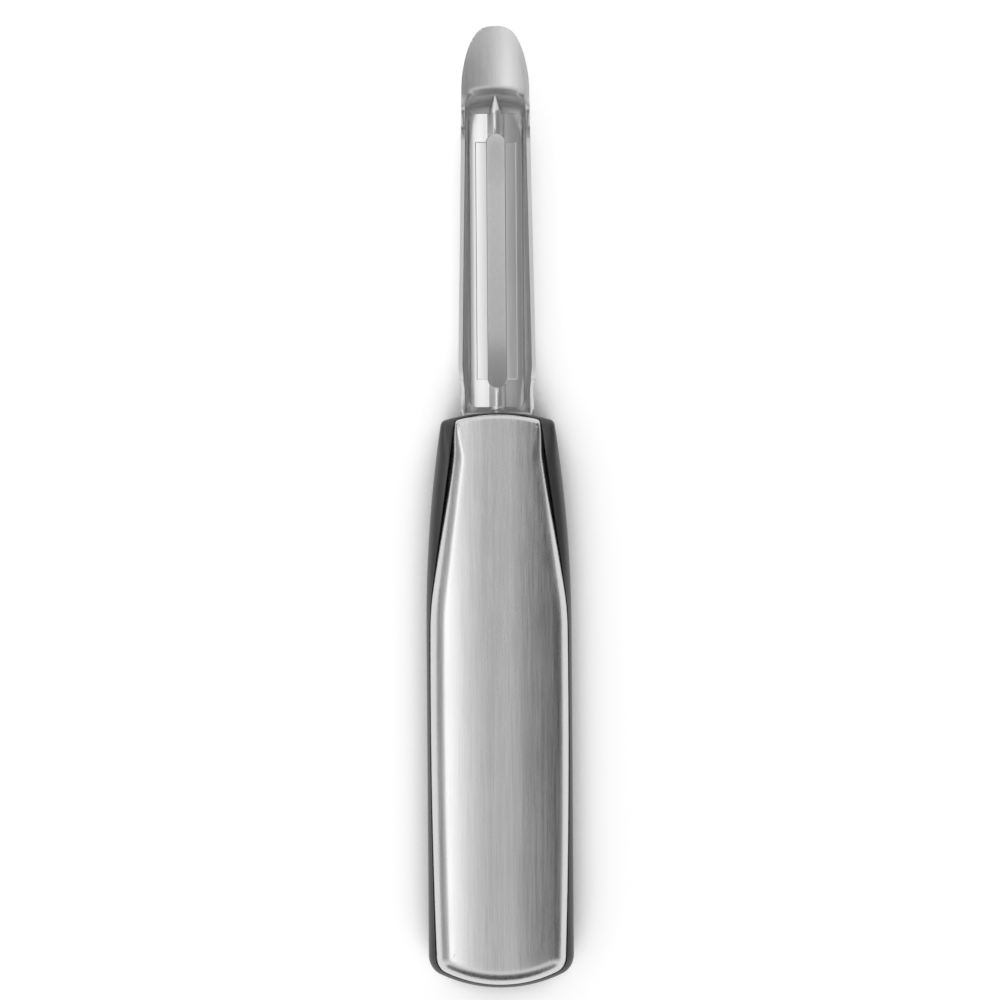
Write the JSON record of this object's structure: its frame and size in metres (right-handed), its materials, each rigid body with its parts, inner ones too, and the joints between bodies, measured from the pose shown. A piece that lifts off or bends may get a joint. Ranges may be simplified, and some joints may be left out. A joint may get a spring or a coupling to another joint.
{
  "type": "vegetable peeler",
  "caption": "Straight vegetable peeler: swivelling slotted blade in a drawn steel frame with an eye-remover scoop, brushed steel covers and a black soft grip on the handle.",
  "frame": {"origin": "middle of the peeler's length and width, at the flat crown of the back cover that it lies on", "axes": "+X across the peeler, +Y along it towards the scoop, +Z out of the front cover"},
  "size_m": [0.0286, 0.19, 0.019],
  "materials": {
    "frame_steel": "stainless steel sheet, finely brushed along the peeler",
    "blade_steel": "hardened stainless steel, bright satin with ground edges",
    "pin_steel": "plain cut stainless wire",
    "core_plastic": "moulded black polypropylene",
    "cover_steel": "stainless steel, satin, finely brushed along the handle",
    "grip_elastomer": "matt black thermoplastic elastomer"
  },
  "bodies": {
    "handle": {"blade_frame": "frame_steel", "tang_pins": "pin_steel", "core_front": "core_plastic", "core_back": "core_plastic", "front_cover": "cover_steel", "back_cover": "cover_steel", "soft_grip": "grip_elastomer"},
    "blade": {"swivel_blade": "blade_steel"}
  },
  "joints": [
    {"name": "blade_swivel", "type": "hinge", "parent": "handle", "child": "blade", "pos_m": [0, 0.0815, 0.01135], "axis": [0, 1, 0], "range_deg": [-22, 22]}
  ]
}
